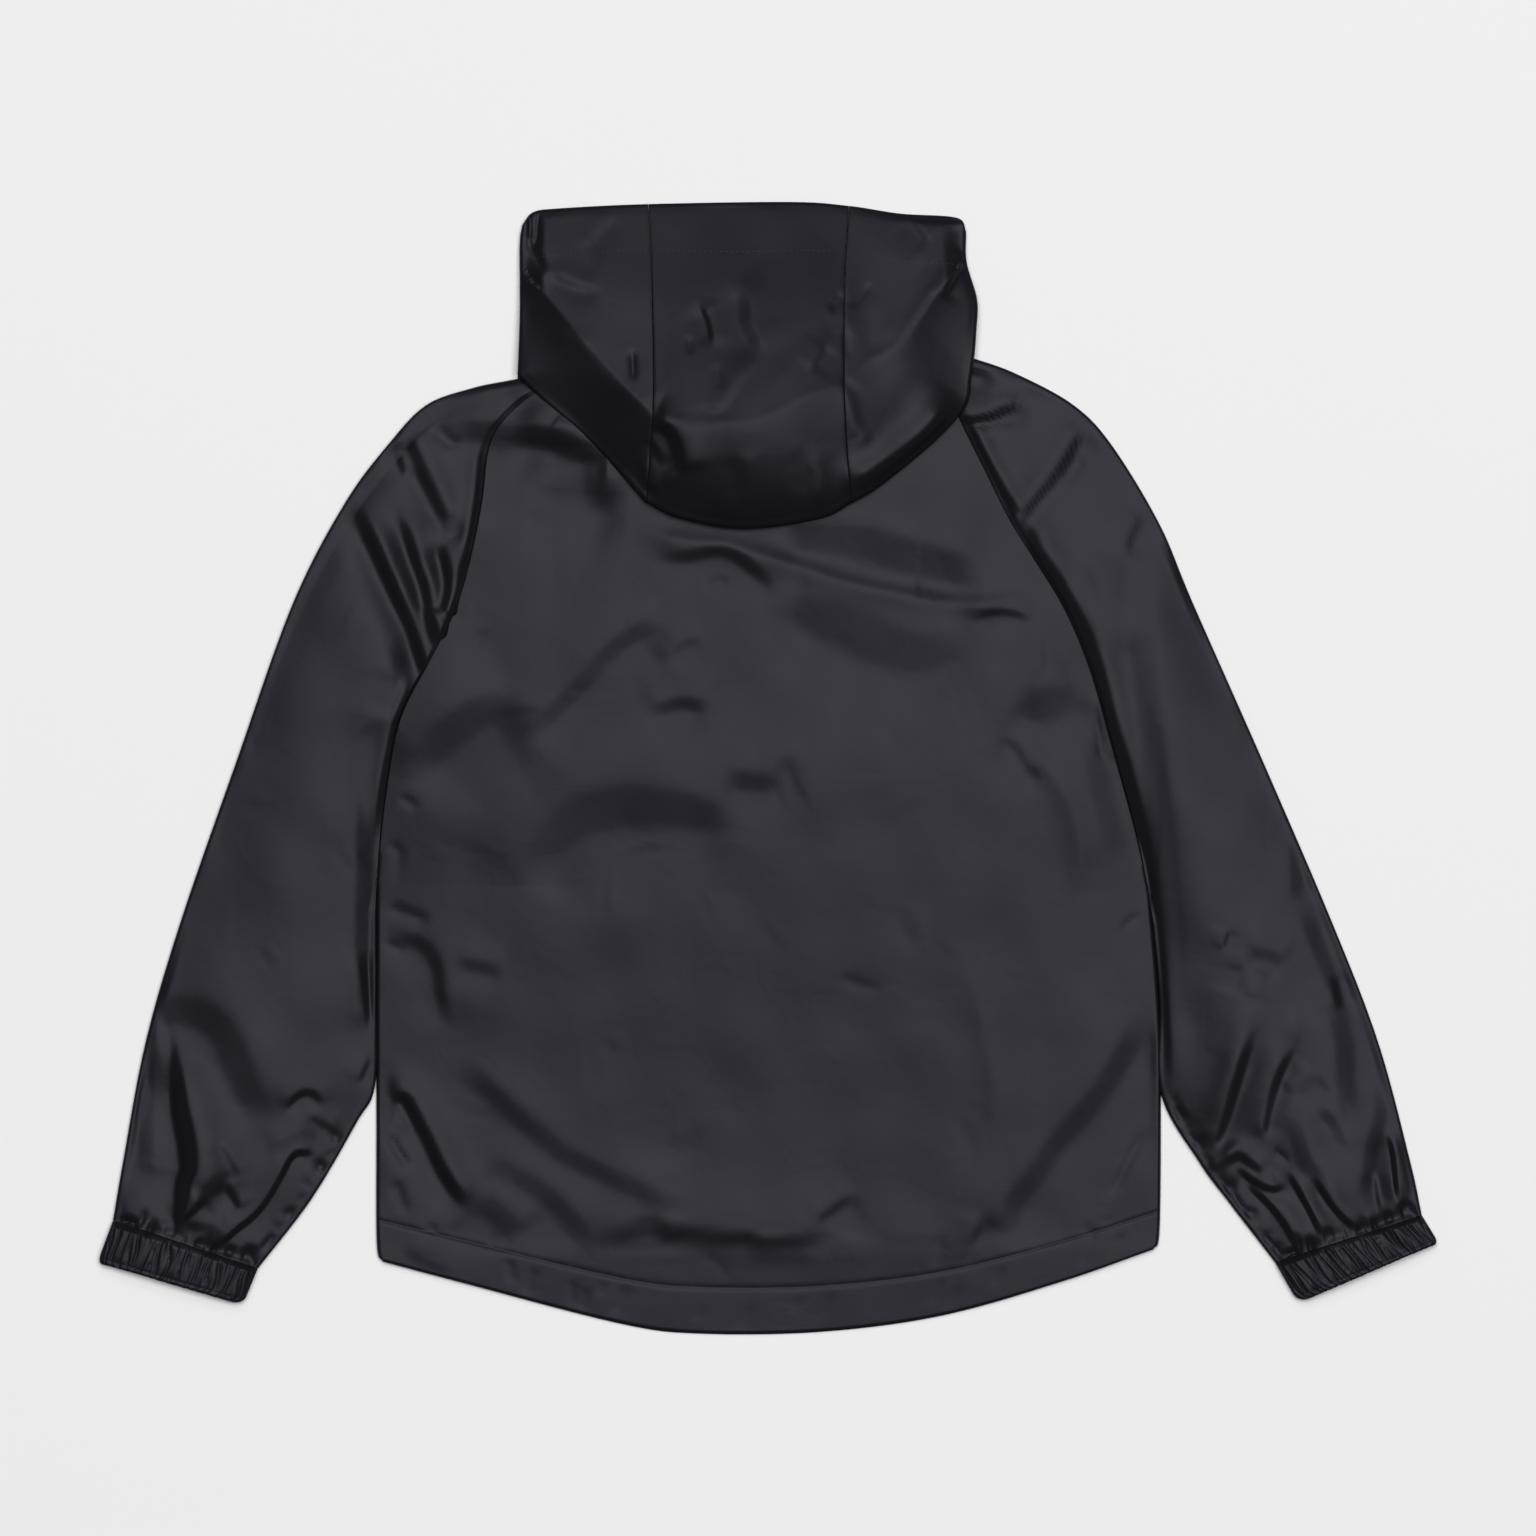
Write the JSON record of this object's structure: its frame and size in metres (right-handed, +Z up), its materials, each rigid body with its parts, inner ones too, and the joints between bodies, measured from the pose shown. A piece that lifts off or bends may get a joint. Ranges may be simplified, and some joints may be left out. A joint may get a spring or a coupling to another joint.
{
  "type": "hooded rain jacket",
  "caption": "Child's hooded raglan rain jacket with elastic cuffs, hood edge and hem, zipped and laid flat with its back up.",
  "frame": {"origin": "on the surface that the jacket lies on, under the middle of its bounding box", "axes": "+Z up through the back; +Y from the hem to the hood; +X across the back towards the wearer's right sleeve"},
  "size_m": [0.7711, 0.6508, 0.0365],
  "materials": {
    "shell_cloth": "coated nylon, low sheen",
    "zip_tape": "woven tape with nylon teeth, matte",
    "zip_metal": "black painted metal, semi-gloss"
  },
  "bodies": {
    "jacket": {"back": "shell_cloth", "front_left": "shell_cloth", "front_right": "shell_cloth", "sleeve_left": "shell_cloth", "sleeve_right": "shell_cloth", "cuff_left": "shell_cloth", "cuff_right": "shell_cloth", "hood_left": "shell_cloth", "hood_right": "shell_cloth", "hood_centre": "shell_cloth", "zip": "zip_tape", "zip_slider": "zip_metal"},
    "pull_tab": {"zip_pull": "zip_metal"}
  },
  "joints": [
    {"name": "pull_hinge", "type": "hinge", "parent": "jacket", "child": "pull_tab", "pos_m": [0, 0.1935, 0.0012], "axis": [1, 0, 0], "range_deg": [0, 175]}
  ]
}
